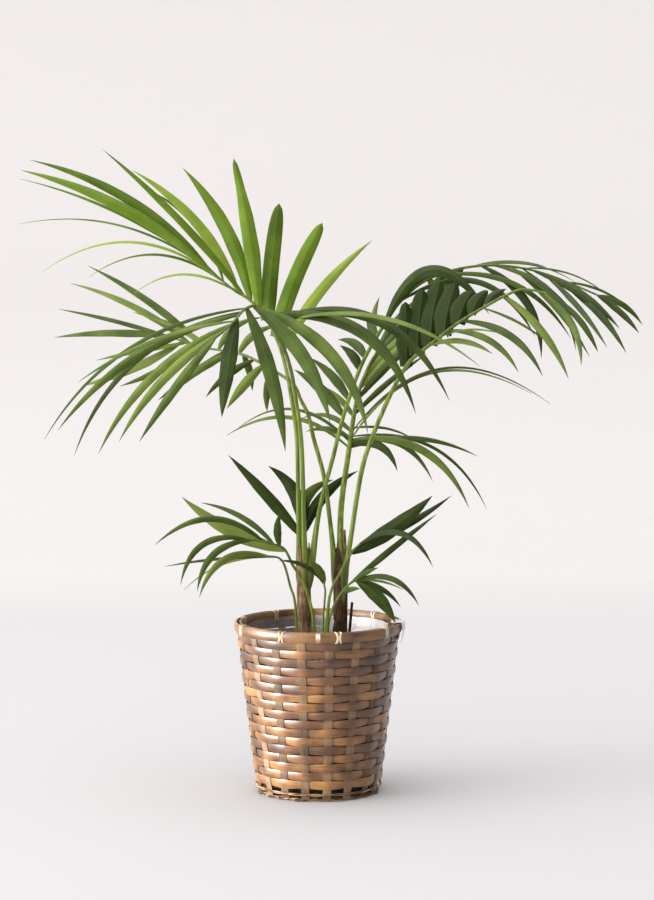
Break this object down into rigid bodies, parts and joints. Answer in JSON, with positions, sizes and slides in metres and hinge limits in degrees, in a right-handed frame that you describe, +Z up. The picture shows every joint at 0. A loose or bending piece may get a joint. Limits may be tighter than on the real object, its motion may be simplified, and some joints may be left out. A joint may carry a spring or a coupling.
{
  "type": "potted palm in woven basket",
  "caption": "Feather-leaved palm on slender stems with long arching fronds, in a nursery pot that stands with a clear film liner in a tapering woven bamboo basket.",
  "frame": {"origin": "middle of the basket's flat underside, on the surface that it stands on", "axes": "+Z up; -Y towards the viewer, on the side that the plant is seen from; +X to the viewer's right"},
  "size_m": [1.094, 0.68, 1.102],
  "materials": {
    "bamboo": "woven bamboo strips, golden brown, satin varnish",
    "split_cane": "split bamboo hoops and rods, golden brown, semi-gloss",
    "cane_tie": "pale cane binding, matte",
    "clear_film": "clear crumpled film, glossy",
    "pot_plastic": "black moulded plastic, matte",
    "potting_soil": "damp crumbly peat and bark",
    "stem_fibre": "brown fibrous sheaths, rough",
    "dead_stub": "dead petiole, nearly black, rough",
    "pale_leaf": "bright yellow-green leaf, satin, lets light through",
    "leaf": "mid-green ribbed leaf, satin",
    "dark_leaf": "dark green ribbed leaf, semi-gloss"
  },
  "bodies": {
    "root": {"basket_base": "bamboo", "basket_wall": "bamboo", "foot_rod_lower": "split_cane", "foot_rod_upper": "split_cane", "rim_hoop_outer": "split_cane", "rim_hoop_inner": "split_cane", "rim_tie_1": "cane_tie", "rim_tie_2": "cane_tie", "rim_tie_3": "cane_tie", "rim_tie_4": "cane_tie", "rim_tie_5": "cane_tie", "rim_tie_6": "cane_tie", "rim_tie_7": "cane_tie", "rim_tie_8": "cane_tie", "rim_tie_9": "cane_tie", "film_liner": "clear_film", "nursery_pot": "pot_plastic", "soil": "potting_soil", "left_stem": "stem_fibre", "right_stem": "stem_fibre", "cut_petiole": "dead_stub", "dry_sheath": "stem_fibre", "upper_left_frond": "pale_leaf", "left_front_frond": "leaf", "left_back_frond": "leaf", "right_arch_frond": "leaf", "right_frond": "leaf", "middle_frond": "leaf", "fan_frond": "dark_leaf", "small_left_frond": "leaf", "lower_left_frond": "leaf", "small_dark_frond": "dark_leaf", "small_right_frond": "dark_leaf", "lower_right_frond": "leaf"}
  },
  "joints": []
}
